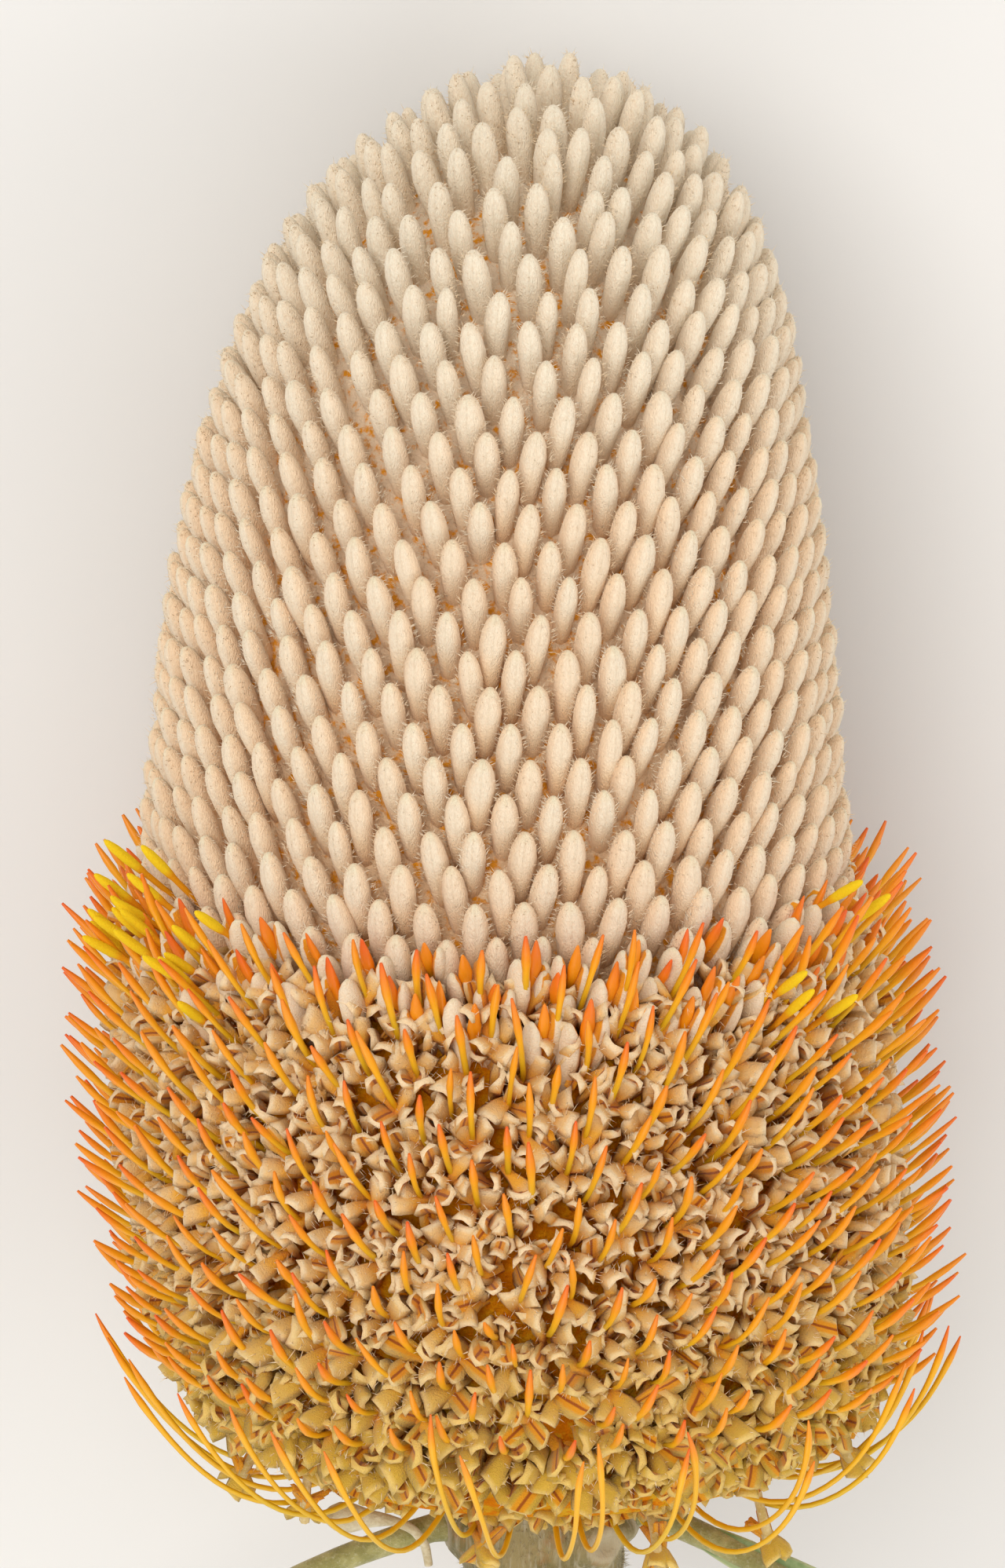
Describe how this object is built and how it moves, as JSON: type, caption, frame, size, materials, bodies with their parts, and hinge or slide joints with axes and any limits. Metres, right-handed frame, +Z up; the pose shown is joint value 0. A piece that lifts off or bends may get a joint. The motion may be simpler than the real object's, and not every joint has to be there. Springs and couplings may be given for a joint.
{
  "type": "cut banksia flower head",
  "caption": "Cut acorn banksia flower lying on its side: a tall dome of cream woolly buds over a band of open orange florets, on a short woody stem with two toothed leaves.",
  "frame": {"origin": "centre of the whole flower's footprint, on the surface it lies on", "axes": "+Z up from the surface, +Y from the cut stem towards the tip of the flower head, +X across the leaves"},
  "size_m": [0.1671, 0.2074, 0.0796],
  "materials": {
    "bud_wool": "matte",
    "floret_orange": "matte",
    "stem_bark": "matte",
    "leaf_green": "satin"
  },
  "bodies": {
    "root": {"closed_buds": "bud_wool", "open_florets": "floret_orange", "stem": "stem_bark", "leaf_left": "leaf_green", "leaf_right": "leaf_green", "dropped_bud": "bud_wool"}
  },
  "joints": []
}
